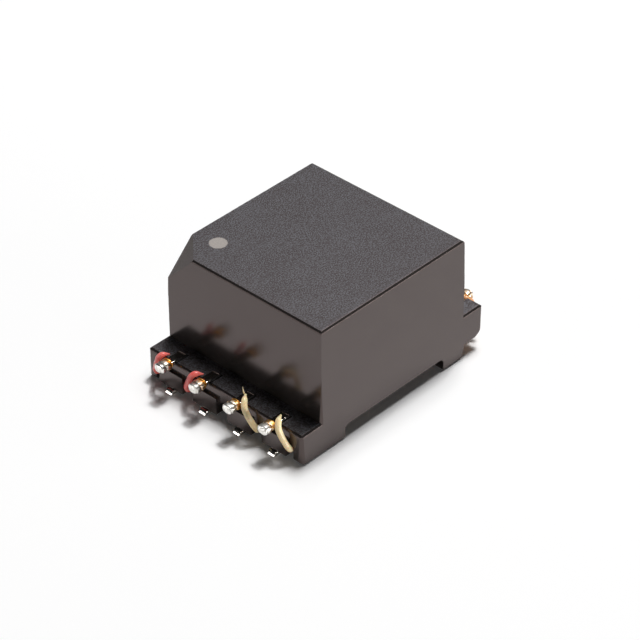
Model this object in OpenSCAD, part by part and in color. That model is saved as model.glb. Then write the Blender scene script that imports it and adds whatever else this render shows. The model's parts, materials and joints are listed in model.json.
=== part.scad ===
// Surface-mount isolation transformer: a wound ferrite toroid in a moulded case that is
// open underneath, with four C-shaped strip terminals on a ledge at each end.
// Frame in mm: +Z up, z = 0 under the terminals' feet, X across the two rows,
// Y along a row, pin 1 at the -X, +Y corner, pins counted round from there.

/* [Terminal rows] */
// Distance between neighbouring terminals of a row
pitch = 2.54; // [2.2:0.01:3.2]
// Terminals in each row
pins_per_row = 4; // [4:1:4]
// Width of the terminal strip
strip_wid = 0.5; // [0.35:0.05:0.6]
// Thickness of the terminal strip
strip_thk = 0.25; // [0.2:0.01:0.32]
// Inner radius of the strip's bends
strip_bend = 0.05; // [0.04:0.01:0.1]
// How far each wire post sticks out past the ledge
post_reach = 1.05; // [0.9:0.05:1.4]
// How far each soldering foot sticks out past the ledge
foot_reach = 0.42; // [0.3:0.02:0.8]
// Distance from the ledge's end to the back of the terminal's upright
leg_inset = 0.92; // [0.8:0.02:1.1]
// Depth to which the strip lies sunk in the ledge
strip_sink = 0.05; // [0.03:0.01:0.12]

/* [Case] */
// Length of the upper case between its end walls, at the ledges
body_len = 11.4; // [10:0.1:14]
// Height of the case's top above the board
case_top = 7.8; // [6.5:0.1:9.6]
// Length of each end ledge beyond the upper case
ledge_len = 1.5; // [1.3:0.05:1.9]
// Height of the ledges' top above the board
ledge_top = 1.98; // [1.8:0.02:2.4]
// Thickness of the side and end walls
wall = 0.6; // [0.5:0.05:0.8]
// Thickness of the roof
roof = 0.8; // [0.6:0.05:1.2]
// Height of the side walls' lower edge above the board
skirt_gap = 0.86; // [0.75:0.01:0.95]
// Height of the corner feet above the board
foot_gap = 0.12; // [0.08:0.01:0.2]
// Slope of the outer walls, in mm of narrowing per mm of height
draft = 0.02; // [0:0.005:0.03]
// Radius of the upright corners
corner_r = 0.34; // [0.15:0.01:0.4]
// Radius of the top edges
edge_r = 0.18; // [0.1:0.01:0.22]
// Leg of the pin 1 corner cut along each edge
corner_cut = 1.9; // [1:0.1:2.2]

/* [Feet and ears] */
// Length of the front feet along the sides, from the ledge's end
front_foot_len = 3.3; // [2.6:0.1:4]
// Length of the rear feet along the sides, from the end wall inwards
rear_foot_len = 1.72; // [1.2:0.02:2.4]
// Radius of the side windows' upper corners
window_r = 0.3; // [0.15:0.05:0.4]
// Width of the front corner fingers
finger_wid = 0.57; // [0.5:0.01:0.75]
// Height of the rear corner ears' top above the board
ear_top = 2.76; // [2.5:0.02:3.2]
// Radius of the ears' lower outer corner
ear_r = 0.85; // [0.4:0.05:0.95]
// Radius of the front feet's lower front corner
foot_r = 0.28; // [0.1:0.02:0.4]

/* [Terminal blocks and wire arches] */
// Width of the arches between the terminal blocks
arch_wid = 0.79; // [0.6:0.01:0.95]
// Height of the arches' crown above the board
arch_top = 1.2; // [1.1:0.02:1.4]
// Height of the narrow end arches' crown above the board
end_arch_top = 1.05; // [0.95:0.01:1.2]
// How far the blocks stand out from the ledge's end
block_out = 0.18; // [0.1:0.01:0.22]
// Height of the blocks' top above the board
block_top = 1.35; // [1.25:0.01:1.5]
// Height of the blocks' underside above the board
block_gap = 0.32; // [0.3:0.01:0.4]

/* [Windings] */
// Diameter of the thick insulated wire, to pins 3 and 4
thick_wire = 0.35; // [0.25:0.01:0.42]
// Diameter of the thin insulated wire, to the other pins
thin_wire = 0.28; // [0.2:0.01:0.34]
// Turns of each winding
turns = 7; // [4:1:7]
// Gap between neighbouring turns in the core's hole
turn_gap = 0.04; // [0.02:0.01:0.06]
// How far the leads bow out past the ledge
lead_bow = 0.6; // [0.5:0.01:0.7]
// How far the thick wires' ends stand up over their posts
thick_rise = 0.22; // [0:0.02:0.3]
// How far the rear leads bow sideways
rear_flare = 0.4; // [0:0.02:0.5]

/* [Core and bond] */
// Radial thickness of the core
core_web = 1.9; // [1.5:0.1:2.1]
// Height of the core's underside above the board
core_lift = 1.72; // [1.6:0.02:2]
// Radius of the core's edges
core_edge = 0.3; // [0.2:0.05:0.4]
// Thickness of the bond over the windings
bond_thk = 0.35; // [0.2:0.05:0.6]
// Depth of the bond's plug into the core's hole
bond_plug = 2; // [1:0.1:3]

/* [Soldered wraps] */
// Wire turns on each post
wrap_turns = 3; // [3:1:5]
// Thickness of the solder over the strip's corners, between the turns
fillet_thk = 0.02; // [0.02:0.01:0.04]
// How far the turns' crests stand out of the solder
crest_out = 0.04; // [0.02:0.01:0.05]
// How far the solder covers the post's tip
solder_cap = 0.05; // [0.03:0.01:0.1]

/* [Clearances] */
// Round a terminal strip in the case
strip_fit = 0.03; // [0.02:0.01:0.05]
// Round a wire in its arch, and between the core and its turns
wire_fit = 0.03; // [0.02:0.005:0.05]
// Between the windings and the case wall
core_fit = 0.2; // [0.1:0.05:0.4]
// Between a strip and the solder round it
solder_fit = 0.005; // [0.004:0.001:0.01]
// Between the windings and the bond over them
bond_fit = 0.03; // [0.02:0.01:0.05]

/* [Hidden] */
$fn = 48;
PINS = [for (i = [1:2 * pins_per_row]) i];

// Sizes in Y
row_len = (pins_per_row - 1) * pitch;
block_wid = pitch - arch_wid;
end_arch = thick_wire + 2 * wire_fit;
block_edge = (row_len + block_wid) / 2;
end_arch_y = block_edge + end_arch / 2;
finger_edge = block_edge + end_arch;
half_wid = finger_edge + finger_wid;

// Sizes in X
half_len = body_len / 2;
end_x = half_len + ledge_len;
foot_end = front_foot_len - end_x;
cavity_x = half_len - wall;
cavity_y = half_wid - wall;
cavity_r = 0.5;
cavity_top = case_top - roof;
reach = 2 * (end_x + half_wid + case_top);

// Terminal strip
post_z = ledge_top - strip_sink;
post_mid = post_z + strip_thk / 2;
post_x = end_x + post_reach;
foot_x = end_x + foot_reach;
leg_x = end_x - leg_inset;

// Soldered wrap
wrap_start = end_x + thick_wire / 2 + wire_fit;
wrap_end = post_x + solder_cap;
wrap_len = wrap_end - wrap_start;
bead_r = wrap_len / wrap_turns / 2;
valley_r = norm([strip_wid, strip_thk]) / 2 + fillet_thk;

// Core and windings
build = thick_wire + 2 * wire_fit;
core_or = min(cavity_x, cavity_y) - build - core_fit;
core_ir = core_or - core_web;
core_mid_r = (core_or + core_ir) / 2;
core_top = cavity_top - bond_thk - bond_fit - build;
core_hgt = core_top - core_lift;
core_mid_z = core_lift + core_hgt / 2;
arc_steps = 2;
first_angle = 168;
lead_z = end_arch_top - thick_wire / 2 - 3 * wire_fit;
wire_sides = 8;
curve_steps = 3;

function pin_x(i) = i <= pins_per_row ? -1 : 1;
function pin_y(i) = i <= pins_per_row
    ? row_len / 2 - (i - 1) * pitch
    : -row_len / 2 + (i - pins_per_row - 1) * pitch;
function unit(v) = v / norm(v);

// Catmull-Rom curve through the points, with a few steps between each pair
function curve_point(a, b, c, d, t) = 0.5 * (2 * b + (c - a) * t
    + (2 * a - 5 * b + 4 * c - d) * t * t + (3 * b - a - 3 * c + d) * t * t * t);
function curve(p, steps) = let (n = len(p)) concat(
    [for (i = [0:n - 2]) for (k = [0:steps - 1])
        curve_point(p[max(i - 1, 0)], p[i], p[i + 1], p[min(i + 2, n - 1)], k / steps)],
    [p[n - 1]]
);

// Direction of a path at each of its points
function tangents(p) = let (n = len(p)) [for (i = [0:n - 1])
    i == 0 ? unit(p[1] - p[0])
    : i == n - 1 ? unit(p[n - 1] - p[n - 2])
    : unit(unit(p[i + 1] - p[i]) + unit(p[i] - p[i - 1]))];
function across(v, t) = unit(v - (v * t) * t);

// Round tube along a path, its rings carried on without twist
module tube(path, dia) {
    n = len(path);
    dirs = tangents(path);
    start = abs(dirs[0].z) < 0.9 ? [0, 0, 1] : [1, 0, 0];
    normals = [for (i = 0, v = across(start, dirs[0]); i < n;
        i = i + 1, v = i < n ? across(v, dirs[i]) : v) v];
    rings = [for (i = [0:n - 1]) for (k = [0:wire_sides - 1])
        let (a = 360 * k / wire_sides, side = cross(dirs[i], normals[i]))
        path[i] + dia / 2 * (cos(a) * normals[i] + sin(a) * side)];
    walls = [for (i = [0:n - 2]) for (k = [0:wire_sides - 1])
        let (a = i * wire_sides + k, b = i * wire_sides + (k + 1) % wire_sides)
        each [[a, a + wire_sides, b], [b, a + wire_sides, b + wire_sides]]];
    polyhedron(
        points = rings,
        faces = concat(
            [[for (k = [0:wire_sides - 1]) k]],
            [[for (k = [wire_sides - 1:-1:0]) (n - 1) * wire_sides + k]],
            walls
        )
    );
}

// Rectangle with round corners, centred
module round_rect(size, r) {
    square([size.x - 2 * r, size.y], center = true);
    square([size.x, size.y - 2 * r], center = true);
    for (x = [-1, 1], y = [-1, 1])
        translate([x * (size.x / 2 - r), y * (size.y / 2 - r)]) circle(r);
}

// Upright outline that narrows upwards from a half width at the ledge, with round top corners
module drafted_outline(half, top) {
    lean = atan(draft);
    run = edge_r * tan((90 - lean) / 2);
    top_half = half - draft * (top - ledge_top);
    side = [top_half + run * sin(lean), top - run * cos(lean)];
    foot = half + draft * ledge_top;
    polygon([[-foot, 0], [foot, 0], side, [top_half - run, top],
        [run - top_half, top], [-side.x, side.y]]);
    for (x = [-1, 1]) translate([x * (top_half - run), top - edge_r]) circle(edge_r);
}

// Solid whose side and end outlines both narrow upwards
module drafted_box(half_x, half_y, top) {
    intersection() {
        rotate([90, 0, 0])
            linear_extrude(reach, center = true) drafted_outline(half_x, top);
        rotate([90, 0, 90])
            linear_extrude(reach, center = true) drafted_outline(half_y, top);
        linear_extrude(top + 1)
            round_rect([2 * (half_x + draft * ledge_top), 2 * (half_y + draft * ledge_top)],
                corner_r);
    }
}

// Ears that stand on the rear ledge's corners, clear of the board
module ears() {
    intersection() {
        drafted_box(end_x, half_wid, ear_top);
        for (y = [block_edge, -block_edge - half_wid])
            translate([half_len / 2, y, skirt_gap]) cube([end_x, half_wid, case_top]);
    }
}

// What a round lower corner takes off an end, beside the blocks; its arc meets the underside
// at a small angle
module round_off(x, z, r) {
    dip = 0.02;
    for (y = [block_edge, -block_edge - half_wid])
        translate([0, y + half_wid, 0]) rotate([90, 0, 0]) linear_extrude(half_wid)
            difference() {
                translate([x - r, z - 1]) square([r + 1, r + 1 - dip]);
                translate([x - r, z + r - dip]) circle(r);
            }
}

// Blocks that back the terminals, at both ends
module blocks() {
    for (i = PINS)
        translate([pin_x(i) > 0 ? cavity_x : -end_x - block_out,
            pin_y(i) - block_wid / 2, block_gap])
        cube([end_x + block_out - cavity_x, block_wid, block_top - block_gap]);
}

// Round-topped passage along X at both ends, cut upwards from below the board
module arch(y, wid, crown) {
    run = 2 * (end_x - cavity_x + cavity_r);
    for (side = [-1, 1]) translate([side * end_x, y, 0]) {
        translate([-run / 2, -wid / 2, -1]) cube([run, wid, crown - wid / 2 + 1]);
        translate([0, 0, crown - wid / 2])
            rotate([0, 90, 0]) cylinder(d = wid, h = run, center = true);
    }
}

// Space under the side walls between the feet
module side_window() {
    inner = half_len - rear_foot_len;
    rotate([90, 0, 0]) linear_extrude(reach, center = true) {
        translate([foot_end, -1]) square([inner - foot_end, skirt_gap - window_r + 1]);
        translate([foot_end + window_r, -1])
            square([inner - foot_end - 2 * window_r, skirt_gap + 1]);
        for (x = [foot_end + window_r, inner - window_r])
            translate([x, skirt_gap - window_r]) circle(window_r);
    }
}

// Space under the rear ears, with the rear feet's leaning outer face
module ear_space() {
    rotate([90, 0, 0]) linear_extrude(reach, center = true)
        polygon([[half_len - 0.25, -1], [end_x + 1, -1], [end_x + 1, skirt_gap],
            [half_len + 0.05, skirt_gap], [half_len - 0.2, foot_gap]]);
}

// Seats of the terminal strips: a slot for the upright and a groove for the post
module strip_seat(i) {
    wid = strip_wid + 2 * strip_fit;
    translate([pin_x(i) * leg_x, pin_y(i), 0]) {
        translate([pin_x(i) > 0 ? -strip_fit : -strip_thk - strip_fit, -wid / 2, -1])
            cube([strip_thk + 2 * strip_fit, wid, ledge_top + 2]);
        translate([pin_x(i) > 0 ? -strip_fit : -leg_inset - 1, -wid / 2, post_z - strip_fit])
            cube([leg_inset + 1 + strip_fit, wid, 1]);
    }
}

// The moulded case
module case() {
    color([0.13, 0.12, 0.12]) difference() {
        union() {
            difference() {
                union() {
                    drafted_box(half_len, half_wid, case_top);
                    drafted_box(end_x, half_wid, ledge_top);
                }
                ear_space();
            }
            ears();
            blocks();
        }
        side_window();
        round_off(end_x + draft * (ledge_top - skirt_gap), skirt_gap, ear_r);
        mirror([1, 0, 0]) round_off(end_x + draft * ledge_top, foot_gap, foot_r);
        // Wound core's chamber, open underneath
        translate([0, 0, -1]) linear_extrude(cavity_top + 1)
            round_rect([2 * cavity_x, 2 * cavity_y], cavity_r);
        // Board side, cut level with the feet
        translate([-reach / 2, -reach / 2, foot_gap - reach]) cube(reach);
        // Blocks' underside, a little higher than the feet
        translate([-reach / 2, -block_edge, block_gap - reach])
            cube([reach, 2 * block_edge, reach]);
        for (k = [0:pins_per_row - 2])
            arch(row_len / 2 - (k + 0.5) * pitch, arch_wid, arch_top);
        for (y = [-1, 1]) arch(y * end_arch_y, end_arch, end_arch_top);
        for (i = PINS) strip_seat(i);
        // Pin 1 corner cut
        translate([-half_len + draft * (case_top - ledge_top),
            half_wid - draft * (case_top - ledge_top), case_top])
            rotate([0, acos(1 / sqrt(3)), 135])
            translate([-reach / 4, -reach / 4, -corner_cut / sqrt(3)])
            cube([reach / 2, reach / 2, reach / 4]);
    }
}

// One bend of the strip: a quarter ring about the bend's centre
module strip_corner(a) {
    outer = strip_bend + strip_thk;
    rotate(a) intersection() {
        difference() {
            circle(outer);
            circle(strip_bend);
        }
        square(outer);
    }
}

// C-shaped terminal of pin i, cut and bent from strip
module terminal(i) {
    outer = strip_bend + strip_thk;
    bend_x = outer;
    color([0.78, 0.78, 0.76])
        translate([pin_x(i) * leg_x, pin_y(i), 0])
        rotate([90, 0, pin_x(i) > 0 ? 0 : 180])
        linear_extrude(strip_wid, center = true) {
            translate([bend_x, 0]) square([foot_x - leg_x - bend_x, strip_thk]);
            translate([bend_x, post_z]) square([post_x - leg_x - bend_x, strip_thk]);
            translate([0, outer]) square([strip_thk, post_z + strip_thk - 2 * outer]);
            translate([bend_x, outer]) strip_corner(180);
            translate([bend_x, post_z + strip_thk - outer]) strip_corner(90);
        }
}

// Stripped wire end wound on a post and drowned in solder, with a round crest at each turn
module solder_joint(i) {
    crest_r = valley_r + crest_out;
    color([0.86, 0.86, 0.84])
        translate([pin_x(i) * wrap_start, pin_y(i), post_mid])
        rotate([0, pin_x(i) * 90, 0])
        difference() {
            rotate_extrude() {
                translate([0, bead_r / 2]) square([valley_r, wrap_len - bead_r]);
                square([crest_r - bead_r, wrap_len]);
                for (k = [0:wrap_turns - 1])
                    translate([crest_r - bead_r, (2 * k + 1) * bead_r]) circle(bead_r);
            }
            translate([0, 0, (wrap_len - solder_cap - 1) / 2])
                cube([strip_thk + 2 * solder_fit, strip_wid + 2 * solder_fit,
                    wrap_len - solder_cap + 1 + 2 * solder_fit], center = true);
        }
}

// Route of a lead from its post, down past the ledge and through its arch
function lead_out(y_pin, y_arch, dia, rise, flare) = let (
    top = post_z + strip_thk + dia / 2 + wire_fit,
    gone = y_arch - y_pin,
    mid_z = (post_z + lead_z) / 2) [
    [end_x, y_pin + 0.2, top + rise],
    [end_x + 0.6 * lead_bow, y_pin + 0.4 * gone, top + 0.6 * rise],
    [end_x + lead_bow, y_pin + 0.54 * gone + 0.2 * flare, post_z + 0.28],
    [end_x + lead_bow, y_pin + 0.68 * gone + 0.6 * flare, post_z - 0.08],
    [end_x + 0.85 * lead_bow, y_pin + 0.84 * gone + flare, mid_z + 0.1],
    [end_x + 0.55 * lead_bow, y_arch + 0.5 * flare, lead_z + 0.25],
    [end_x - 0.1, y_arch, lead_z],
    [cavity_x + 0.2, y_arch, lead_z]
];

// Angle on the core from one turn of a wire to the next
function turn_angle(dia) = 2 * asin((dia + turn_gap) / 2 / (core_ir - dia / 2 - wire_fit));

// Point of a turn: k counts along the turn, with three points at each corner of the core
function turn_point(k, dia) = let (
    per_turn = 4 * (arc_steps + 1),
    corner = floor((k % per_turn) / (arc_steps + 1)),
    a = 90 * corner - 90 + 90 * (k % (arc_steps + 1)) / arc_steps,
    sx = corner < 2 ? 1 : -1,
    sz = corner == 1 || corner == 2 ? 1 : -1,
    r = (core_edge + dia / 2 + wire_fit) / cos(45 / arc_steps),
    out = core_mid_r + sx * (core_web / 2 - core_edge) + r * cos(a),
    up = core_mid_z + sz * (core_hgt / 2 - core_edge) + r * sin(a),
    angle = first_angle - turn_angle(dia) * k / per_turn)
    [out * cos(angle), out * sin(angle), up];

// Whole route of one winding's wire, for the corner at -X, +Y
function winding_route(dia, rise, flare) = let (
    per_turn = 4 * (arc_steps + 1),
    last = turns * per_turn,
    y_in = row_len / 2 - 0.5 * pitch,
    start_a = first_angle + 4,
    end_a = first_angle - turn_angle(dia) * turns,
    low = lead_z + 0.3,
    side_y = cavity_y - dia / 2 - 0.15,
    inner = curve(concat(
        [for (p = lead_out(row_len / 2 - pitch, y_in, dia, rise, flare)) [-p.x, p.y, p.z]],
        [[-cavity_x + 0.25, y_in - 0.35, low],
         [core_or * cos(start_a) - 0.25, core_or * sin(start_a) + 0.15, core_lift - 0.25]]),
        curve_steps),
    wound = [for (k = [arc_steps:last]) turn_point(k, dia)],
    outer = curve(concat(
        [[(core_or + 0.2) * cos(end_a), (core_or + 0.2) * sin(end_a), core_lift - dia / 2 - 0.1],
         [(core_or + 0.3) * cos(end_a + 9), side_y - 0.1, low],
         [-cavity_x + 1, side_y, low]],
        [for (k = [7:-1:0])
            let (p = lead_out(row_len / 2, end_arch_y, dia, rise, flare)[k])
            [-p.x, p.y, p.z]]),
        curve_steps))
    concat(inner, wound, outer);

// One winding with both its leads; sx and sy place it in its corner of the case
module winding(sx, sy, dia, rise, flare) {
    tube([for (p = winding_route(dia, rise, flare)) [sx * p.x, sy * p.y, p.z]], dia);
}

module winding_1_2() {
    color([0.8, 0.15, 0.12]) winding(1, 1, thin_wire, 0, 0);
}
module winding_3_4() {
    color([0.87, 0.76, 0.55]) winding(1, -1, thick_wire, thick_rise, 0);
}
module winding_5_6() {
    color([0.82, 0.48, 0.24]) winding(-1, -1, thin_wire, 0, rear_flare);
}
module winding_7_8() {
    color([0.82, 0.48, 0.24]) winding(-1, 1, thin_wire, 0, rear_flare);
}

// Ferrite ring with round edges
module toroid_core() {
    color([0.28, 0.3, 0.29]) rotate_extrude($fn = 96)
        translate([core_mid_r, core_mid_z]) round_rect([core_web, core_hgt], core_edge);
}

// Silicone that bonds the wound core under the roof
module core_bond() {
    plug_r = core_ir - build - wire_fit;
    bond_low = core_top + build + bond_fit;
    color([0.85, 0.84, 0.8]) union() {
        translate([0, 0, bond_low])
            cylinder(r = core_mid_r + core_web / 4, h = cavity_top - bond_low);
        translate([0, 0, core_top - bond_plug])
            cylinder(r = plug_r, h = cavity_top - core_top + bond_plug);
    }
}

case();
toroid_core();
core_bond();
winding_1_2();
winding_3_4();
winding_5_6();
winding_7_8();
for (i = PINS) {
    terminal(i);
    solder_joint(i);
}
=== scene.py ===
"""Looks of a surface-mount isolation transformer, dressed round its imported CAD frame.

Everything is in metres in the part's own frame: +Z up from the board, X across the two rows of
terminals, Y along a row, and pin 1 at the -X, +Y corner.
"""
import json
import logging
import math
from collections.abc import Sequence
from dataclasses import dataclass, field
from enum import Enum

import bmesh
import bpy
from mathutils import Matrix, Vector, noise

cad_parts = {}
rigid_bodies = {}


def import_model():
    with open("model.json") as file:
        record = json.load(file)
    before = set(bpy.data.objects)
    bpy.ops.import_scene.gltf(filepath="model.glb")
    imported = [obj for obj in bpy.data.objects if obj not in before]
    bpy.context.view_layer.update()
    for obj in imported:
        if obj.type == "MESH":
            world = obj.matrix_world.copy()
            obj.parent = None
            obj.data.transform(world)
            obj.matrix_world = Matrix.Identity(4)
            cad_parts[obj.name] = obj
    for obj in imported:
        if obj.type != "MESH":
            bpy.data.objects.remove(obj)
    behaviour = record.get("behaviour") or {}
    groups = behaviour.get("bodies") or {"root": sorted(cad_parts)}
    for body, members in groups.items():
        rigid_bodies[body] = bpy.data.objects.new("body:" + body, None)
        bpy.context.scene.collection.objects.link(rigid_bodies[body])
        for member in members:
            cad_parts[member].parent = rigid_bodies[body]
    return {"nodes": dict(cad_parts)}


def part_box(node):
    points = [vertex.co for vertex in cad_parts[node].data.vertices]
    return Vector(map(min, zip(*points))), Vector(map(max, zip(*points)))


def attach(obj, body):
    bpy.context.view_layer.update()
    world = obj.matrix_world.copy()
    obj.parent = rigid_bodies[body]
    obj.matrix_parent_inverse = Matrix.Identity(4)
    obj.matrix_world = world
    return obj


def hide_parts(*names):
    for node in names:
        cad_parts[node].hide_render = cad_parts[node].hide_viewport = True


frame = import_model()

LOG = logging.getLogger("transformer")
MM = 0.001
ROOT = "root"
Socket = bpy.types.NodeSocket
Colour = tuple[float, float, float, float]
Range = tuple[float, float]


def linear(hex_colour: str) -> Colour:
    """Turns an sRGB hex colour into linear light.

    Args:
        hex_colour: The colour as "#rrggbb".

    Returns:
        Red, green, blue and an alpha of 1.
    """
    channels = [int(hex_colour[i:i + 2], 16) / 255 for i in (1, 3, 5)]
    red, green, blue = (
        c / 12.92 if c <= 0.04045 else ((c + 0.055) / 1.055) ** 2.4 for c in channels)
    return red, green, blue, 1.0


def add_node(tree: bpy.types.NodeTree, kind: str, inputs: dict | None = None,
             **settings) -> bpy.types.Node:
    """Adds one node with its settings, values and links.

    Args:
        tree: The node tree that gets the node.
        kind: The node's type name.
        inputs: What goes into each input, by name or number: a value, or a socket to link.
        **settings: The node's own properties.

    Returns:
        The new node.
    """
    node = tree.nodes.new(kind)
    for name, value in settings.items():
        setattr(node, name, value)
    for key, value in (inputs or {}).items():
        if isinstance(value, Socket):
            tree.links.new(value, node.inputs[key])
        else:
            node.inputs[key].default_value = value
    return node


def calculate(tree: bpy.types.NodeTree, operation: str, first: Socket | float,
              second: Socket | float = 0.0) -> Socket:
    """Adds a Math node.

    Args:
        tree: The node tree that gets the node.
        operation: What it works out.
        first: The first number.
        second: The second number, where the operation takes two.

    Returns:
        The result.
    """
    return add_node(tree, "ShaderNodeMath", {0: first, 1: second}, operation=operation).outputs[0]


def add_object(name: str, data: bpy.types.ID) -> bpy.types.Object:
    """Puts a new object in the scene, at the origin.

    Args:
        name: The object's name.
        data: Its mesh, curve, lamp or camera.

    Returns:
        The object.
    """
    made = bpy.data.objects.new(name, data)
    bpy.context.scene.collection.objects.link(made)
    return made


class Bench:
    """The node tree of one material under work: its shader, its coordinates and its patterns."""

    def __init__(self, name: str) -> None:
        """Makes a material with one Principled shader and Object coordinates in metres.

        Args:
            name: The material's name.
        """
        material = bpy.data.materials.new(name)
        material.use_nodes = True
        self.tree = material.node_tree
        self.tree.nodes.clear()
        self.shader = add_node(self.tree, "ShaderNodeBsdfPrincipled")
        add_node(self.tree, "ShaderNodeOutputMaterial", {"Surface": self.shader.outputs["BSDF"]})
        self.coords = add_node(self.tree, "ShaderNodeTexCoord").outputs["Object"]

    def feed(self, name: str, value: Socket | Colour | float) -> None:
        """Gives one of the shader's inputs what it works with.

        Args:
            name: The input's name.
            value: A socket to link, or a constant.
        """
        if isinstance(value, Socket):
            self.tree.links.new(value, self.shader.inputs[name])
        else:
            self.shader.inputs[name].default_value = value

    def calc(self, operation: str, first: Socket | float, second: Socket | float = 0.0) -> Socket:
        """Adds a Math node.

        Args:
            operation: What it works out.
            first: The first number.
            second: The second number, where the operation takes two.

        Returns:
            The result.
        """
        return calculate(self.tree, operation, first, second)

    def split(self, vector: Socket) -> bpy.types.Node:
        """Separates a vector.

        Args:
            vector: The vector.

        Returns:
            The node with X, Y and Z as its outputs.
        """
        return add_node(self.tree, "ShaderNodeSeparateXYZ", {"Vector": vector})

    def grain(self, size_mm: float, detail: float = 2.0,
              stretch: tuple[float, float, float] | None = None) -> Socket:
        """Adds a noise pattern whose patches have a real size.

        Args:
            size_mm: Width of a patch in millimetres.
            detail: Octaves of finer noise in it.
            stretch: What the coordinates are scaled by first, if anything.

        Returns:
            The noise's value, about 0.5 on average.
        """
        coords = self.coords
        if stretch:
            coords = add_node(self.tree, "ShaderNodeMapping",
                              {"Vector": coords, "Scale": stretch}).outputs["Vector"]
        return add_node(self.tree, "ShaderNodeTexNoise",
                        {"Vector": coords, "Scale": 1 / (size_mm * MM),
                         "Detail": detail}).outputs["Fac"]

    def spread(self, value: Socket, low: float, high: float, start: float = 0.35,
               end: float = 0.65) -> Socket:
        """Maps a stretch of values, by default a pattern's middle, to a range.

        Args:
            value: The pattern.
            low: The result at start and below.
            high: The result at end and above.
            start: Where the stretch starts.
            end: Where it ends.

        Returns:
            The mapped value.
        """
        return add_node(self.tree, "ShaderNodeMapRange",
                        {"Value": value, "From Min": start, "From Max": end,
                         "To Min": low, "To Max": high}).outputs["Result"]

    def blend(self, share: Socket, first: Colour | Socket, second: Colour | Socket) -> Socket:
        """Mixes two colours.

        Args:
            share: How much of the second there is.
            first: The colour at 0.
            second: The colour at 1.

        Returns:
            The mixed colour.
        """
        return add_node(self.tree, "ShaderNodeMix", {0: share, 6: first, 7: second},
                        data_type="RGBA").outputs[2]

    def shade(self, pattern: Socket, light: str, dark: str) -> Socket:
        """Varies between two shades of one colour.

        Args:
            pattern: The pattern to follow.
            light: The lighter shade.
            dark: The darker shade.

        Returns:
            The varied colour.
        """
        return self.blend(self.spread(pattern, 0.0, 1.0), linear(light), linear(dark))

    def relief(self, height: Socket, strength: Socket | float, depth_mm: float) -> None:
        """Raises a pattern from the surface.

        Args:
            height: The pattern.
            strength: How strong it is.
            depth_mm: Its depth in millimetres.
        """
        bump = add_node(self.tree, "ShaderNodeBump",
                        {"Strength": strength, "Distance": depth_mm * MM, "Height": height})
        self.feed("Normal", bump.outputs["Normal"])


@dataclass(frozen=True)
class Finish:
    """What every finish shares: a named material, built on its first use."""

    name: str

    def material(self) -> bpy.types.Material:
        """Gives the finish's material.

        Returns:
            The material.
        """
        if self.name not in bpy.data.materials:
            self.dress(Bench(self.name))
        return bpy.data.materials[self.name]

    def dress(self, bench: Bench) -> None:
        """Feeds the shader.

        Args:
            bench: The material's bench.
        """
        raise NotImplementedError


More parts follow.
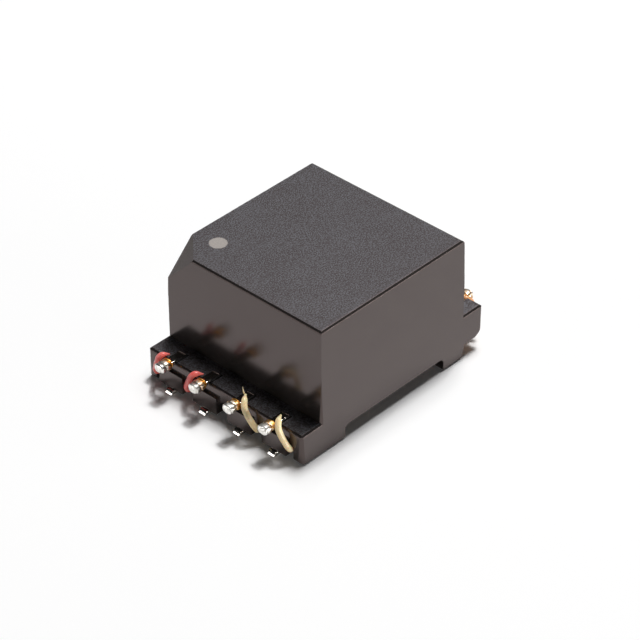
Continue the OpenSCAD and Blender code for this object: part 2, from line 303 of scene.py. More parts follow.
@dataclass(frozen=True)
class MouldedThermoset(Finish):
    """Black-brown mineral-filled thermoset, compression moulded.

    The polished mould leaves the walls smooth enough to mirror the floor softly. The top, its rims
    and the pin 1 corner cut have the mould's eroded texture, which scatters light. On the top it
    shows as a fine bluish-grey grain, round the printed pin 1 dot.
    """

    name: str = "moulded_thermoset"
    wall: str = "#2b2826"
    wall_dark: str = "#252221"
    top: str = "#5f656b"
    top_dark: str = "#15181b"
    ink: str = "#a8a39d"
    sheen_tint: str = "#ffe2dd"
    ior: float = 1.7
    wall_roughness: Range = (0.16, 0.21)
    eroded_roughness: Range = (0.47, 0.63)
    wall_relief: float = 0.05
    eroded_relief: float = 0.9
    relief_mm: float = 0.012
    grain_mm: float = 0.075
    grain_detail: float = 3.0
    blotch_mm: float = 0.3
    blotch_weight: float = 0.14
    mottle_mm: float = 1.4
    mottle_weight: float = 0.08
    speck_range: Range = (0.52, 0.74)
    ink_wear: float = 0.25
    dot_x_mm: float = -3.5
    dot_y_mm: float = 3.86
    dot_mm: float = 1.0
    dot_ragged_mm: float = 0.03
    dot_soft_mm: float = 0.02
    # Heights and slopes between which each mask fades in or out
    texture_z_mm: Range = (1.5, 1.6)
    top_slope: Range = (0.93, 0.99)
    rim_low_slope: Range = (0.25, 0.33)
    rim_high_slope: Range = (0.48, 0.56)
    cut_slope: Range = (-0.19, -0.175)

    def dress(self, bench: Bench) -> None:
        """Feeds the shader.

        Args:
            bench: The material's bench.
        """
        grain = bench.grain(self.grain_mm, self.grain_detail)
        blotch = bench.grain(self.blotch_mm)
        mottle = bench.grain(self.mottle_mm)
        place = bench.split(bench.coords)
        normal = bench.split(add_node(bench.tree, "ShaderNodeNewGeometry").outputs["Normal"])
        is_top = self.top_mask(bench, place, normal)
        cloudy = bench.calc("ADD", bench.calc("MULTIPLY", blotch, self.blotch_weight),
                            bench.calc("MULTIPLY", mottle, self.mottle_weight))
        specks = bench.spread(bench.calc("ADD", grain, cloudy), 0.0, 1.0, *self.speck_range)
        top = bench.blend(specks, linear(self.top_dark), linear(self.top))
        plain = bench.blend(is_top, bench.shade(mottle, self.wall, self.wall_dark), top)
        inked = bench.blend(bench.spread(grain, 0.0, self.ink_wear), linear(self.ink),
                            linear(self.top))
        dot = self.dot_mask(bench, place, grain, is_top)
        bench.feed("Base Color", bench.blend(dot, plain, inked))
        eroded = self.eroded_mask(bench, normal, is_top)
        rough = add_node(bench.tree, "ShaderNodeMix",
                         {0: eroded, 2: bench.spread(mottle, *self.wall_roughness),
                          3: bench.spread(grain, *self.eroded_roughness)})
        bench.feed("Roughness", rough.outputs[0])
        bench.feed("IOR", self.ior)
        bench.feed("Specular Tint", linear(self.sheen_tint))
        strength = bench.spread(eroded, self.wall_relief, self.eroded_relief, 0.0, 1.0)
        bench.relief(grain, strength, self.relief_mm)

    def top_mask(self, bench: Bench, place: bpy.types.Node, normal: bpy.types.Node) -> Socket:
        """Masks the level faces on top of the case, its ledges and its ears.

        Args:
            bench: The material's bench.
            place: The separated Object coordinates.
            normal: The separated normal.

        Returns:
            1 on those faces and 0 elsewhere.
        """
        start, end = self.texture_z_mm
        upward = bench.spread(normal.outputs["Z"], 0.0, 1.0, *self.top_slope)
        high = bench.spread(place.outputs["Z"], 0.0, 1.0, start * MM, end * MM)
        return bench.calc("MULTIPLY", upward, high)

    def eroded_mask(self, bench: Bench, normal: bpy.types.Node, is_top: Socket) -> Socket:
        """Masks what the mould's eroded texture covers.

        Args:
            bench: The material's bench.
            normal: The separated normal.
            is_top: The mask of the top.

        Returns:
            1 on the top, on the middle of each rounded rim and on the corner cut, 0 elsewhere.
        """
        slant = bench.calc("MULTIPLY", normal.outputs["X"], normal.outputs["Y"])
        corner = bench.calc("MULTIPLY", slant, normal.outputs["Z"])
        is_cut = bench.spread(corner, 1.0, 0.0, *self.cut_slope)
        rim = bench.calc("MULTIPLY",
                         bench.spread(normal.outputs["Z"], 0.0, 1.0, *self.rim_low_slope),
                         bench.spread(normal.outputs["Z"], 1.0, 0.0, *self.rim_high_slope))
        return bench.calc("MAXIMUM", bench.calc("MAXIMUM", rim, is_cut), is_top)

    def dot_mask(self, bench: Bench, place: bpy.types.Node, grain: Socket,
                 is_top: Socket) -> Socket:
        """Masks the printed dot, with a rim that follows the grain a little.

        Args:
            bench: The material's bench.
            place: The separated Object coordinates.
            grain: The surface's grain.
            is_top: The mask of the top.

        Returns:
            1 inside the dot and 0 outside it.
        """
        across = bench.calc("SUBTRACT", place.outputs["X"], self.dot_x_mm * MM)
        along = bench.calc("SUBTRACT", place.outputs["Y"], self.dot_y_mm * MM)
        square = bench.calc("ADD", bench.calc("MULTIPLY", across, across),
                            bench.calc("MULTIPLY", along, along))
        ragged = self.dot_ragged_mm * MM
        distance = bench.calc("ADD", bench.calc("SQRT", square),
                              bench.spread(grain, -ragged, ragged))
        radius, soft = self.dot_mm / 2 * MM, self.dot_soft_mm * MM
        inside = bench.spread(distance, 1.0, 0.0, radius - soft, radius + soft)
        return bench.calc("MULTIPLY", inside, is_top)


@dataclass(frozen=True)
class TinPlate(Finish):
    """Matt-bright electroplated tin over phosphor bronze strip, with faint rolling lines."""

    name: str = "tin_plate"
    tin: str = "#cfccc6"
    tin_dark: str = "#a9a59e"
    roughness: Range = (0.07, 0.15)
    grain_mm: float = 0.08
    rolled: tuple[float, float, float] = (0.15, 1.0, 1.0)
    relief: float = 0.06
    relief_mm: float = 0.004

    def dress(self, bench: Bench) -> None:
        """Feeds the shader.

        Args:
            bench: The material's bench.
        """
        lines = bench.grain(self.grain_mm, stretch=self.rolled)
        bench.feed("Base Color", bench.shade(lines, self.tin, self.tin_dark))
        bench.feed("Roughness", bench.spread(lines, *self.roughness))
        bench.feed("Metallic", 1.0)
        bench.relief(lines, self.relief, self.relief_mm)


@dataclass(frozen=True)
class DippedSolder(Finish):
    """Tin-silver solder that froze bright over bare copper wire.

    The copper and its golden flux stain show through at the root, where the dip ended.
    """

    name: str = "dipped_solder"
    solder: str = "#f6f4f0"
    solder_dark: str = "#d2cec6"
    copper: str = "#f2b355"
    roughness: Range = (0.28, 0.44)
    lump_mm: float = 0.12
    root_mm: float = 7.6
    dip_mm: float = 7.96
    ragged_mm: float = 0.16
    relief: float = 0.3
    relief_mm: float = 0.01

    def dress(self, bench: Bench) -> None:
        """Feeds the shader.

        Args:
            bench: The material's bench.
        """
        lumps = bench.grain(self.lump_mm)
        out = bench.calc("ABSOLUTE", bench.split(bench.coords).outputs["X"])
        ragged = self.ragged_mm * MM
        uneven = bench.calc("ADD", out, bench.spread(lumps, -ragged, ragged))
        dipped = bench.spread(uneven, 0.0, 1.0, self.root_mm * MM, self.dip_mm * MM)
        bright = bench.shade(lumps, self.solder, self.solder_dark)
        bench.feed("Base Color", bench.blend(dipped, linear(self.copper), bright))
        bench.feed("Roughness", bench.spread(lumps, *self.roughness))
        bench.feed("Metallic", 1.0)
        bench.relief(lumps, self.relief, self.relief_mm)


@dataclass(frozen=True)
class WireInsulation(Finish):
    """Extruded fluoropolymer insulation, waxy, crazed and creased where it was bent by hand, with
    painted shade in the dips of the creases.
    """

    light: str
    dark: str
    # The crease colour is painted shade, laid into the dips of the crease pattern
    crease: str
    roughness: Range = (0.21, 0.34)
    ior: float = 1.45
    band_mm: float = 0.22
    crease_mm: float = 0.07
    crease_detail: float = 3.0
    crease_shade_depth: float = 0.7
    crease_shade_range: Range = (0.36, 0.46)
    translucency: float = 0.3
    glow_mm: float = 0.3
    glow_colour: tuple[float, float, float] = (1.0, 0.5, 0.35)
    relief: float = 0.5
    relief_mm: float = 0.015

    def dress(self, bench: Bench) -> None:
        """Feeds the shader.

        Args:
            bench: The material's bench.
        """
        bands = bench.grain(self.band_mm)
        creases = bench.grain(self.crease_mm, self.crease_detail)
        # Painted shade: the crease colour fills the dips of the creases, where the bump sinks
        crease_shade_share = bench.spread(creases, self.crease_shade_depth, 0.0, *self.crease_shade_range)
        bench.feed("Base Color", bench.blend(crease_shade_share, bench.shade(bands, self.light, self.dark),
                                             linear(self.crease)))
        bench.feed("Roughness", bench.spread(bands, *self.roughness))
        bench.feed("IOR", self.ior)
        bench.feed("Subsurface Weight", self.translucency)
        bench.feed("Subsurface Radius", self.glow_colour)
        bench.feed("Subsurface Scale", self.glow_mm * MM)
        bench.relief(creases, self.relief, self.relief_mm)


@dataclass(frozen=True)
class SinteredFerrite(Finish):
    """Tumbled grey manganese-zinc ferrite with a dull, finely pitted surface."""

    name: str = "sintered_ferrite"
    grey: str = "#4a4c4b"
    grey_dark: str = "#343635"
    roughness: Range = (0.52, 0.72)
    pit_mm: float = 0.06
    pit_detail: float = 4.0
    relief: float = 0.5
    relief_mm: float = 0.012

    def dress(self, bench: Bench) -> None:
        """Feeds the shader.

        Args:
            bench: The material's bench.
        """
        pits = bench.grain(self.pit_mm, self.pit_detail)
        bench.feed("Base Color", bench.shade(pits, self.grey, self.grey_dark))
        bench.feed("Roughness", bench.spread(pits, *self.roughness))
        bench.relief(pits, self.relief, self.relief_mm)


@dataclass(frozen=True)
class SiliconeBond(Finish):
    """Cured white silicone adhesive, soft and slightly cloudy."""

    name: str = "silicone_bond"
    white: str = "#dedbd2"
    cream: str = "#cbc6b8"
    roughness: Range = (0.34, 0.52)
    cloud_mm: float = 0.9
    relief: float = 0.4
    relief_mm: float = 0.05

    def dress(self, bench: Bench) -> None:
        """Feeds the shader.

        Args:
            bench: The material's bench.
        """
        cloud = bench.grain(self.cloud_mm)
        bench.feed("Base Color", bench.shade(cloud, self.white, self.cream))
        bench.feed("Roughness", bench.spread(cloud, *self.roughness))
        bench.relief(cloud, self.relief, self.relief_mm)


class WireColour(Enum):
    """The insulation colours of the windings."""

    # The third colour of each is painted shade for the dips of the creases
    RED = WireInsulation("red_insulation", "#ff8780", "#ff6c66", "#e46a64")
    CREAM = WireInsulation("cream_insulation", "#ffebbf", "#ffdfaa", "#ecc492")
    ORANGE = WireInsulation("orange_insulation", "#efb684", "#da9e6a", "#9c6a44")


class SweepTree:
    """Geometry Nodes that sweep a round wire along a route."""

    NAME = "wire_sweep"
    INPUTS = {
        "Diameter": "NodeSocketFloat", "Ring spacing": "NodeSocketFloat",
        "Sides": "NodeSocketInt", "Unevenness": "NodeSocketFloat", "Taper": "NodeSocketFloat",
        "Seed": "NodeSocketFloat", "Finish": "NodeSocketMaterial"}
    SPACING = 0.07 * MM
    SIDES = 18
    WAVE = 0.45 * MM  # Length over which the diameter varies
    TAPER = 0.45 * MM  # Length of each pinched end
    PINCH = 0.3  # What is left of the diameter at the very end

    def __init__(self) -> None:
        """Builds the tree once, with its named inputs."""
        self.tree = bpy.data.node_groups.new(self.NAME, "GeometryNodeTree")
        face = self.tree.interface
        face.new_socket("Route", in_out="INPUT", socket_type="NodeSocketGeometry")
        self.ids = {name: face.new_socket(name, in_out="INPUT", socket_type=kind).identifier
                    for name, kind in self.INPUTS.items()}
        face.new_socket("Wire", in_out="OUTPUT", socket_type="NodeSocketGeometry")
        self.fill()

    def fill(self) -> None:
        """Adds the nodes: even rings, an uneven radius, the sweep, and the finish."""
        tree = self.tree
        given = add_node(tree, "NodeGroupInput").outputs
        rings = add_node(tree, "GeometryNodeResampleCurve",
                         {"Curve": given["Route"], "Length": given["Ring spacing"]},
                         mode="LENGTH")
        radius = calculate(tree, "MULTIPLY", given["Diameter"], 0.5)
        profile = add_node(tree, "GeometryNodeCurvePrimitiveCircle",
                           {"Resolution": given["Sides"], "Radius": radius})
        swept = add_node(tree, "GeometryNodeCurveToMesh",
                         {"Curve": rings.outputs["Curve"], "Fill Caps": True,
                          "Profile Curve": profile.outputs["Curve"],
                          "Scale": self.radius_factor(given)})
        smooth = add_node(tree, "GeometryNodeSetShadeSmooth", {"Geometry": swept.outputs["Mesh"]})
        real = add_node(tree, "GeometryNodeRealizeInstances",
                        {"Geometry": smooth.outputs["Geometry"]})
        dressed = add_node(tree, "GeometryNodeSetMaterial",
                           {"Geometry": real.outputs["Geometry"], "Material": given["Finish"]})
        add_node(tree, "NodeGroupOutput", {"Wire": dressed.outputs["Geometry"]})

    def radius_factor(self, given: bpy.types.NodeOutputs) -> Socket:
        """Varies the radius along the wire, and pinches it at both ends.

        Args:
            given: The tree's inputs.

        Returns:
            The radius's factor at each ring.
        """
        tree = self.tree
        place = add_node(tree, "GeometryNodeInputPosition").outputs[0]
        wave = add_node(tree, "ShaderNodeTexNoise",
                        {"Vector": place, "W": given["Seed"], "Scale": 1 / self.WAVE},
                        noise_dimensions="4D").outputs["Fac"]
        wobble = calculate(tree, "MULTIPLY", calculate(tree, "SUBTRACT", wave, 0.5),
                           given["Unevenness"])
        along = add_node(tree, "GeometryNodeSplineParameter").outputs["Length"]
        whole = add_node(tree, "GeometryNodeSplineLength").outputs["Length"]
        from_end = calculate(tree, "MINIMUM", along, calculate(tree, "SUBTRACT", whole, along))
        pinched = add_node(tree, "ShaderNodeMapRange",
                           {"Value": from_end, "From Max": given["Taper"],
                            "To Min": self.PINCH, "To Max": 1.0},
                           interpolation_type="SMOOTHSTEP").outputs[0]
        return calculate(tree, "MULTIPLY", calculate(tree, "ADD", wobble, 1.0), pinched)

    def sweep(self, name: str, route: Sequence[Vector], diameter: float, uneven: float,
              seed: float, finish: Finish) -> bpy.types.Object:
        """Sweeps one wire along a route and returns it as a plain mesh.

        Args:
            name: The piece's name.
            route: Points of the centreline.
            diameter: The wire's diameter.
            uneven: How much the diameter varies, as a share.
            seed: Seed of the unevenness.
            finish: The wire's finish.

        Returns:
            The finished object, at the origin.
        """
        curve = bpy.data.curves.new(name, "CURVE")
        curve.dimensions = "3D"
        spline = curve.splines.new("POLY")
        spline.points.add(len(route) - 1)
        for point, place in zip(spline.points, route):
            point.co = (*place, 1.0)
        guide = add_object(name + "_route", curve)
        modifier = guide.modifiers.new("sweep", "NODES")
        modifier.node_group = self.tree
        values = {"Diameter": diameter, "Ring spacing": self.SPACING, "Sides": self.SIDES,
                  "Unevenness": uneven, "Taper": self.TAPER, "Seed": seed,
                  "Finish": finish.material()}
        for label, value in values.items():
            modifier[self.ids[label]] = value
        bpy.context.view_layer.update()
        graph = bpy.context.evaluated_depsgraph_get()
        mesh = bpy.data.meshes.new_from_object(guide.evaluated_get(graph))
        bpy.data.objects.remove(guide)
        mesh.name = name
        return add_object(name, mesh)


def dress_node(node: str, finish: Finish) -> None:
    """Gives a CAD node its finish.

    Args:
        node: The node's name.
        finish: Its finish.
    """
    piece = frame["nodes"][node]
    piece.data.materials.clear()
    piece.data.materials.append(finish.material())
    LOG.info("%s dressed in %s", node, finish.name)


def seat_piece(piece: bpy.types.Object, slot: str, *nodes: str) -> None:
    """Lets a finished piece ride on the part, in place of any CAD nodes that it stands for.

    Args:
        piece: The piece.
        slot: The record's material slot; not used.
        *nodes: Those nodes.
    """
    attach(piece, ROOT)
    if nodes:
        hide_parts(*nodes)
    LOG.info("%s made, %d faces, for %s", piece.name, len(piece.data.polygons),
             ", ".join(nodes) or "nothing in the CAD")


def loft(name: str, rings: Sequence[Sequence[Vector]], finish: Finish,
         crease: float) -> bpy.types.Object:
    """Skins a row of rings into a closed mesh with flat ends.

    Args:
        name: The piece's name.
        rings: The rings in order, all with the same number of points.
        finish: The finish.
        crease: Angle above which an edge stays sharp, in degrees.

    Returns:
        The object, at the origin.
    """
    sides = len(rings[0])
    faces = [tuple(range(sides))[::-1]]
    for ring in range(len(rings) - 1):
        for k in range(sides):
            a, b = ring * sides + k, ring * sides + (k + 1) % sides
            faces.append((a, b, b + sides, a + sides))
    faces.append(tuple((len(rings) - 1) * sides + k for k in range(sides)))
    mesh = bpy.data.meshes.new(name)
    mesh.from_pydata([point for ring in rings for point in ring], [], faces)
    shell = bmesh.new()
    shell.from_mesh(mesh)
    bmesh.ops.recalc_face_normals(shell, faces=shell.faces)
    shell.to_mesh(mesh)
    shell.free()
    mesh.shade_smooth()
    mesh.set_sharp_from_angle(angle=math.radians(crease))
    mesh.materials.append(finish.material())
    return add_object(name, mesh)


@dataclass
class MouldedCase:
    """The open-bottomed case with its ledges, blocks, feet and ears."""

    finish: MouldedThermoset = MouldedThermoset()

    def make(self) -> None:
        """Dresses the case."""
        dress_node("case", self.finish)


@dataclass
class StripTerminal:
    """One C-shaped terminal, cut and bent from plated strip, with softly broken edges."""

    pin: int
    finish: TinPlate = TinPlate()
    width: float = 0.5 * MM
    thickness: float = 0.25 * MM
    bend: float = 0.05 * MM
    foot_x: float = 7.62 * MM
    edge: float = 0.035 * MM
    edge_steps: int = 3
    shear: float = 0.48
    arc_steps: int = 6
    crease: float = 50.0

    def make(self) -> None:
        """Makes the terminal."""
        node = f"terminal_{self.pin}"
        low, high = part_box(node)
        side = 1 if low.x > 0 else -1
        leg, post = sorted((abs(low.x), abs(high.x)))
        middle_y = (low.y + high.y) / 2
        path = self.path(leg, post, low.z, high.z)
        rings = []
        for n, (place, normal) in enumerate(path):
            end = n in (0, len(path) - 1)
            rings.append([
                Vector((side * (place.x + across * normal.x), middle_y + along,
                        place.z + across * normal.z))
                for along, across in self.section(self.edge if end else 0.0)])
        strip = loft(f"strip_{self.pin}", rings, self.finish, self.crease)
        seat_piece(strip, "tinned_strip", node)

    def path(self, leg: float, post: float, low: float,
             high: float) -> list[tuple[Vector, Vector]]:
        """Gives the strip's centreline, from the foot's sheared tip to the post's tip.

        Args:
            leg: Place of the upright's back.
            post: Place of the post's tip.
            low: Height of the foot's underside.
            high: Height of the post's top.

        Returns:
            Points of the centreline, each with the strip's outward normal.
        """
        radius = self.bend + self.thickness / 2
        centre_x = leg + self.bend + self.thickness
        floor_z, roof_z = low + self.thickness / 2, high - self.thickness / 2
        down, up = Vector((0, 0, -1)), Vector((0, 0, 1))
        sheared = down + Vector((self.shear, 0, 0))
        tip = self.foot_x - self.shear * self.thickness / 2
        path = [(Vector((tip, 0, floor_z)), sheared),
                (Vector((tip - self.edge, 0, floor_z)), sheared)]
        for centre_z, start in ((floor_z + radius, -90), (roof_z - radius, -180)):
            for k in range(self.arc_steps + 1):
                angle = math.radians(start - 90 * k / self.arc_steps)
                normal = Vector((math.cos(angle), 0, math.sin(angle)))
                path.append((Vector((centre_x, 0, centre_z)) + radius * normal, normal))
        return path + [(Vector((post - self.edge, 0, roof_z)), up),
                       (Vector((post, 0, roof_z)), up)]

    def section(self, less: float) -> list[tuple[float, float]]:
        """Gives the strip's section, a rectangle with broken corners.

        Args:
            less: How much smaller it is all round.

        Returns:
            Places along the width and across the thickness.
        """
        points = []
        half_x, half_z = self.width / 2 - self.edge, self.thickness / 2 - self.edge
        radius = self.edge - less
        for x, z, start in ((1, 1, 0), (-1, 1, 90), (-1, -1, 180), (1, -1, 270)):
            for step in range(self.edge_steps + 1):
                angle = math.radians(start + 90 * step / self.edge_steps)
                points.append((x * half_x + radius * math.cos(angle),
                               z * half_z + radius * math.sin(angle)))
        return points


@dataclass
class SolderedWrap:
    """The stripped wire's turns on one post, drowned in solder."""

    pin: int
    finish: DippedSolder
    turns: float = 2.4
    half_width: float = 0.37 * MM
    half_height: float = 0.29 * MM
    boxiness: float = 0.8
    groove: float = 0.09 * MM
    fullness: int = 4
    rounding: float = 0.13 * MM
    blunt_end: float = 0.12
    lump: float = 0.07
    lump_size: float = 0.25 * MM
    lump_reach: float = 0.3 * MM
    lump_room: float = 0.04
    # What sets one pin's wrap apart from the next: turns, and places in the noise
    pin_turn: float = 0.13
    pin_shift: float = 7.3
    rings: int = 90
    sides: int = 56
    crease: float = 80.0

    def make(self) -> None:
        """Makes the wrap."""
        node = f"solder_joint_{self.pin}"
        low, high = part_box(node)
        side = 1 if low.x > 0 else -1
        start = low.x if side > 0 else high.x
        length = high.x - low.x
        middle = (low + high) / 2
        angles = [2 * math.pi * k / self.sides for k in range(self.sides)]
        rings = []
        for ring in range(self.rings + 1):
            share = 0.5 - 0.5 * math.cos(math.pi * ring / self.rings)
            points = []
            for angle in angles:
                reach = self.radius_share(share, angle, length)
                points.append(Vector((
                    start + side * share * length,
                    middle.y + self.half_width * reach * self.squared(math.cos(angle)),
                    middle.z + self.half_height * reach * self.squared(math.sin(angle)))))
            rings.append(points)
        wrap = loft(f"solder_wrap_{self.pin}", rings, self.finish, self.crease)
        seat_piece(wrap, "solder", node)

    def squared(self, value: float) -> float:
        """Pushes a sine or cosine outwards, so that the section is a rounded rectangle.

        Args:
            value: The sine or cosine.

        Returns:
            The pushed value.
        """
        return math.copysign(abs(value) ** self.boxiness, value)

    def radius_share(self, share: float, angle: float, length: float) -> float:
        """Gives the wrap's radius as a share of its full size.

        Args:
            share: Place along the wrap, 0 at the root and 1 at the tip.
            angle: Angle round the post, in radians.
            length: The wrap's length.

        Returns:
            The share, at most about 1.
        """
        turned = share * self.turns + angle / (2 * math.pi) + self.pin_turn * self.pin
        bulge = math.sqrt(1 - abs(2 * (turned % 1.0) - 1) ** self.fullness)
        place = Vector((share * length, math.cos(angle) * self.lump_reach,
                        math.sin(angle) * self.lump_reach))
        shift = Vector((self.pin_shift * self.pin, 0, 0))
        lump = self.lump * noise.noise(place / self.lump_size + shift)
        near = max(0.0, 1 - min(share, 1 - share) * length / self.rounding)
        end = math.sqrt(max(0.0, 1 - near ** 2))
        body = 1 - self.groove / self.half_height * (1 - bulge) + lump - self.lump_room
        return body * (self.blunt_end + (1 - self.blunt_end) * end)


@dataclass
class TerminalRows:
    """The eight strip terminals with the soldered wraps on their posts."""

    pins: int = 8
    front_pins: int = 4
    front: DippedSolder = DippedSolder()
    rear: DippedSolder = DippedSolder("dipped_solder_rear", dip_mm=8.3)

    def make(self) -> None:
        """Makes every terminal and wrap."""
        for pin in range(1, self.pins + 1):
            StripTerminal(pin).make()
            SolderedWrap(pin, self.front if pin <= self.front_pins else self.rear).make()


@dataclass
class Core:
    """The ferrite ring and the silicone that bonds it under the roof."""

    ferrite: SinteredFerrite = SinteredFerrite()
    silicone: SiliconeBond = SiliconeBond()

    def make(self) -> None:
        """Dresses both."""
        dress_node("toroid_core", self.ferrite)
        dress_node("core_bond", self.silicone)


@dataclass
class Winding:
    """One insulated wire: a lead from a post, its turns on the core, and a lead to a post.

    The route is worked out in the -X, +Y corner of the case, and mirrored into the wire's own.
    """

    inner_pin: int
    outer_pin: int
    colour: WireColour
    slot: str
    diameter: float
    uneven: float = 0.16
    fit: float = 0.03 * MM
    # The leads outside: how far they rise, swing aside and bow out
    rise: float = 0.0
    flare: float = 0.0
    aside: float = 0.2 * MM
    bow: float = 0.42 * MM
    # The case and the posts
    pitch: float = 2.54 * MM
    strip: float = 0.25 * MM
    end_arch: float = 4.89 * MM
    ledge_end: float = 7.2 * MM
    cavity_x: float = 5.1 * MM
    cavity_y: float = 5.065 * MM
    # The leads inside: heights, and what they keep clear of the walls and the core
    lead_z: float = 0.785 * MM
    run_rise: float = 0.3 * MM
    wall_gap: float = 0.15 * MM
    clear: float = 0.25 * MM
    swing: float = 0.35 * MM
    turn_clear: float = 0.1 * MM
    run_in: float = 1.0 * MM
    arch_start: float = 0.1 * MM
    arch_end: float = 0.2 * MM
    # How far round the core in degrees, and how far off its rim, the leads meet the turns
    inner_lead_angle: float = 4.0
    outer_lead_angle: float = 9.0
    last_turn_off: float = 0.2 * MM
    outer_lead_off: float = 0.3 * MM
    # The turns on the core, with angles in degrees
    core_web: float = 1.9 * MM
    core_edge: float = 0.3 * MM
    turns: int = 7
    turn_gap: float = 0.04 * MM
    first_angle: float = 168.0
    arc_steps: int = 6
    cad_arc_steps: int = 2
    curve_steps: int = 8
    # What the CAD frame tells
    post_top: float = field(init=False)
    core_out: float = field(init=False)
    core_low: float = field(init=False)
    core_high: float = field(init=False)

    def make(self, tree: SweepTree) -> None:
        """Makes the wire.

        Args:
            tree: The sweep that follows its route.
        """
        low, high = sorted((self.inner_pin, self.outer_pin))
        node = f"winding_{low}_{high}"
        wire = tree.sweep(f"wire_{low}_{high}", self.find_route(), self.diameter, self.uneven,
                          float(self.inner_pin), self.colour.value)
        seat_piece(wire, self.slot, node)

    def find_route(self) -> list[Vector]:
        """Works out the whole centreline.

        Returns:
            The points, from the inner pin's post to the outer pin's post.
        """
        low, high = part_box(f"terminal_{self.outer_pin}")
        side = 1 if low.x > 0 else -1
        corner_y = 1 if low.y > 0 else -1
        core_low, core_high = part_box("toroid_core")
        self.post_top = high.z
        self.core_out, self.core_low, self.core_high = core_high.x, core_low.z, core_high.z
        row = abs(low.y + high.y) / 2
        step = self.turn_angle()
        per_turn = 4 * (self.arc_steps + 1)
        wound = [self.turn_point(k, per_turn, step)
                 for k in range(self.arc_steps, self.turns * per_turn + 1)]
        points = (self.smooth(self.inner_lead(row)) + wound
                  + self.smooth(self.outer_lead(row, self.first_angle - step * self.turns)))
        return [Vector((-side * p.x, corner_y * p.y, p.z)) for p in points]

    def inner_lead(self, row: float) -> list[Vector]:
        """Route of the lead from the inner pin to the first turn.

        Args:
            row: The outer post's place along the row.

        Returns:
            The points, post first.
        """
        arch = row - self.pitch / 2
        start = math.radians(self.first_angle + self.inner_lead_angle)
        return self.lead_out(row - self.pitch, arch) + [
            Vector((-self.cavity_x + self.clear, arch - self.swing, self.lead_z + self.run_rise)),
            Vector((self.core_out * math.cos(start) - self.clear,
                    self.core_out * math.sin(start) + self.wall_gap, self.core_low - self.clear))]

    def outer_lead(self, row: float, end_angle: float) -> list[Vector]:
        """Route of the lead from the last turn, along the side wall, to the outer pin.

        Args:
            row: The outer post's place along the row.
            end_angle: Angle of the last turn's end.

        Returns:
            The points, post last.
        """
        last, before = math.radians(end_angle), math.radians(end_angle + self.outer_lead_angle)
        off, far_off = self.core_out + self.last_turn_off, self.core_out + self.outer_lead_off
        side_y = self.cavity_y - self.diameter / 2 - self.wall_gap
        run_z = self.lead_z + self.run_rise
        return [
            Vector((off * math.cos(last), off * math.sin(last),
                    self.core_low - self.diameter / 2 - self.turn_clear)),
            Vector((far_off * math.cos(before), side_y - self.turn_clear, run_z)),
            Vector((-self.cavity_x + self.run_in, side_y, run_z)),
        ] + self.lead_out(row, self.end_arch)[::-1]

    def turn_angle(self) -> float:
        """Works out the angle on the core from one turn to the next.

        Returns:
            The angle in degrees.
        """
        inner = self.core_out - self.core_web - self.diameter / 2 - self.fit
        return math.degrees(2 * math.asin((self.diameter + self.turn_gap) / 2 / inner))

    def lead_out(self, row: float, arch: float) -> list[Vector]:
        """Route of a lead from its post, past the ledge and in through its arch.

        Args:
            row: The post's place along the row.
            arch: The arch's place along the row.

        Returns:
            The points, post first.
        """
        top = self.post_top + self.diameter / 2 + self.fit
        post = self.post_top - self.strip
        middle = (post + self.lead_z) / 2
        gone = arch - row
        # Shares of the bow, of the way to the arch and of the flare, then the height
        steps = (
            (0.0, self.aside / gone, 0.0, top + self.rise),
            (0.6, 0.4, 0.0, top + 0.6 * self.rise),
            (1.0, 0.54, 0.2, post + 0.28 * MM),
            (1.0, 0.68, 0.6, post - 0.08 * MM),
            (0.85, 0.84, 1.0, middle + 0.1 * MM),
            (0.55, 1.0, 0.5, self.lead_z + 0.25 * MM))
        points = [
            Vector((-self.ledge_end - out * self.bow, row + along * gone + aside * self.flare, z))
            for out, along, aside, z in steps]
        return points + [
            Vector((-self.ledge_end + self.arch_start, arch, self.lead_z)),
            Vector((-self.cavity_x - self.arch_end, arch, self.lead_z))]

    def turn_point(self, k: int, per_turn: int, step: float) -> Vector:
        """Gives one point of the turns, which go round each corner of the core in an arc.

        Args:
            k: The point's number.
            per_turn: Points in a turn.
            step: Angle from one turn to the next, in degrees.

        Returns:
            The point.
        """
        corner = (k % per_turn) // (self.arc_steps + 1)
        arc = math.radians(90 * corner - 90 + 90 * (k % (self.arc_steps + 1)) / self.arc_steps)
        sx = 1 if corner < 2 else -1
        sz = 1 if corner in (1, 2) else -1
        # As wide as in the CAD, whose arcs of fewer steps just clear the core
        r = ((self.core_edge + self.diameter / 2 + self.fit)
             / math.cos(math.radians(45 / self.cad_arc_steps)))
        middle = self.core_out - self.core_web / 2
        height = self.core_high - self.core_low
        out = middle + sx * (self.core_web / 2 - self.core_edge) + r * math.cos(arc)
        up = (self.core_low + self.core_high) / 2 + sz * (height / 2 - self.core_edge)
        angle = math.radians(self.first_angle - step * k / per_turn)
        return Vector((out * math.cos(angle), out * math.sin(angle), up + r * math.sin(arc)))

    def smooth(self, points: Sequence[Vector]) -> list[Vector]:
        """Runs a Catmull-Rom curve through points.

        Args:
            points: The points.

        Returns:
            The curve's points.
        """
        curve = []
        last = len(points) - 1
        for i in range(last):
            a, b = points[max(i - 1, 0)], points[i]
            c, d = points[i + 1], points[min(i + 2, last)]
            for k in range(self.curve_steps):
                t = k / self.curve_steps
                curve.append(0.5 * (2 * b + (c - a) * t + (2 * a - 5 * b + 4 * c - d) * t ** 2
                                    + (3 * b - a - 3 * c + d) * t ** 3))
        return curve + [points[-1]]


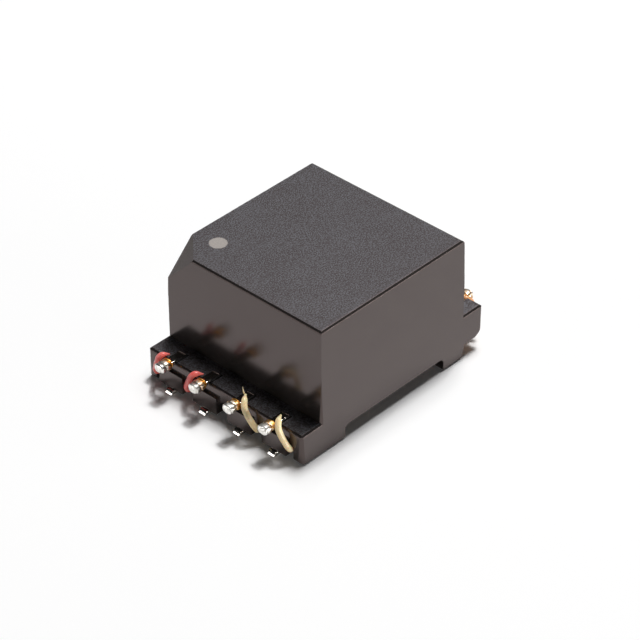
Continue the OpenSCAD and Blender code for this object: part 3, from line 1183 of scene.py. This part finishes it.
@dataclass
class StrayStrand:
    """A torn whisker of insulation that stands up from the end of one lead."""

    place_mm: tuple[float, float, float] = (-7.12, -1.6, 2.36)
    tip_mm: tuple[float, float, float] = (-7.18, -1.42, 3.06)
    lean: float = 0.05 * MM
    diameter: float = 0.09 * MM
    uneven: float = 0.3
    seed: float = 3.0
    steps: int = 12

    def make(self, tree: SweepTree) -> None:
        """Makes the strand.

        Args:
            tree: The sweep that follows its route.
        """
        low, high = Vector(self.place_mm) * MM, Vector(self.tip_mm) * MM
        route = [low.lerp(high, k / self.steps)
                 + Vector((0, self.lean * math.sin(math.pi * k / self.steps), 0))
                 for k in range(self.steps + 1)]
        strand = tree.sweep("stray_strand", route, self.diameter, self.uneven, self.seed,
                            WireColour.CREAM.value)
        seat_piece(strand, "cream_wire")


@dataclass(frozen=True)
class SoftBox:
    """A lamp behind a flat diffuser, facing the part."""

    name: str
    place: tuple[float, float, float]
    width: float
    height: float
    power: float

    def make(self) -> None:
        """Hangs the lamp."""
        lamp = bpy.data.lights.new(self.name, "AREA")
        lamp.shape = "RECTANGLE"
        lamp.size = self.width
        lamp.size_y = self.height
        lamp.energy = self.power
        box = add_object(self.name, lamp)
        box.location = self.place
        box.rotation_mode = "QUATERNION"
        box.rotation_quaternion = (-Vector(self.place)).to_track_quat("-Z", "Y")
        box.visible_camera = False


@dataclass
class Studio:
    """The camera, the pale floor and the plain soft light."""

    camera_mm: tuple[float, float, float] = (-88.929, -83.061, 93.836)
    aim_mm: tuple[float, float, float] = (-0.3095, -0.5408, 3.1994)
    lens: float = 158.16
    clip: Range = (0.001, 10.0)
    floor_half: float = 1.5
    lit_floor: str = "#a0a0a0"
    seen_floor: str = "#ffffff"
    sky: float = 0.02
    boxes: tuple[SoftBox, ...] = (
        SoftBox("key_box", (0.245, 0.042, 0.8), 0.08, 0.08, 2.8),
        SoftBox("wide_key_box", (0.215, 0.042, 0.8), 0.3, 0.3, 4.1),
        SoftBox("low_side_box", (0.08, -0.35, 0.01), 0.4, 0.018, 1.25),
        SoftBox("low_front_box", (-0.36, 0.16, 0.034), 0.25, 0.044, 0.32))

    def make(self) -> None:
        """Sets up camera, floor and light."""
        self.make_camera()
        self.make_floor()
        self.make_light()

    def make_camera(self) -> None:
        """Places the camera."""
        camera = add_object("camera", bpy.data.cameras.new("camera"))
        camera.data.lens = self.lens
        camera.data.clip_start, camera.data.clip_end = self.clip
        place = Vector(self.camera_mm) * MM
        camera.location = place
        camera.rotation_mode = "QUATERNION"
        camera.rotation_quaternion = (Vector(self.aim_mm) * MM - place).to_track_quat("-Z", "Y")
        bpy.context.scene.camera = camera

    def make_floor(self) -> None:
        """Lays a white paper floor, which lamps see a little darker than the camera does."""
        mesh = bpy.data.meshes.new("floor")
        half = self.floor_half
        mesh.from_pydata([(-half, -half, 0), (half, -half, 0), (half, half, 0), (-half, half, 0)],
                         [], [(0, 1, 2, 3)])
        floor = add_object("floor", mesh)
        material = bpy.data.materials.new("white_paper_floor")
        material.use_nodes = True
        tree = material.node_tree
        tree.nodes.clear()
        path = add_node(tree, "ShaderNodeLightPath").outputs
        seen = calculate(tree, "MAXIMUM", path["Is Camera Ray"], path["Is Glossy Ray"])
        seen = calculate(tree, "MAXIMUM", seen, path["Is Transmission Ray"])
        colour = add_node(tree, "ShaderNodeMix",
                          {0: seen, 6: linear(self.lit_floor), 7: linear(self.seen_floor)},
                          data_type="RGBA").outputs[2]
        paper = add_node(tree, "ShaderNodeBsdfDiffuse", {"Color": colour})
        add_node(tree, "ShaderNodeOutputMaterial", {"Surface": paper.outputs["BSDF"]})
        mesh.materials.append(material)

    def make_light(self) -> None:
        """Hangs the soft boxes and fills the room with an even dark grey."""
        world = bpy.data.worlds.new("room")
        world.use_nodes = True
        room = world.node_tree.nodes["Background"].inputs
        room["Color"].default_value = (1, 1, 1, 1)
        room["Strength"].default_value = self.sky
        bpy.context.scene.world = world
        for box in self.boxes:
            box.make()


def main() -> None:
    """Builds every piece in order and sets up the studio."""
    logging.basicConfig(level=logging.INFO, format="%(name)s: %(message)s")
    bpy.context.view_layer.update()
    bpy.context.scene.view_settings.view_transform = "Standard"
    Studio().make()
    MouldedCase().make()
    TerminalRows().make()
    Core().make()
    tree = SweepTree()
    for winding in (
            Winding(2, 1, WireColour.RED, "red_wire", 0.33 * MM),
            Winding(3, 4, WireColour.CREAM, "cream_wire", 0.35 * MM, rise=0.22 * MM, bow=0.5 * MM,
                    aside=0.3 * MM, ledge_end=7.12 * MM),
            Winding(6, 5, WireColour.ORANGE, "orange_wire", 0.28 * MM, flare=0.33 * MM),
            Winding(7, 8, WireColour.ORANGE, "orange_wire", 0.28 * MM, flare=0.33 * MM)):
        winding.make(tree)
    StrayStrand().make(tree)


if __name__ == "__main__":
    main()
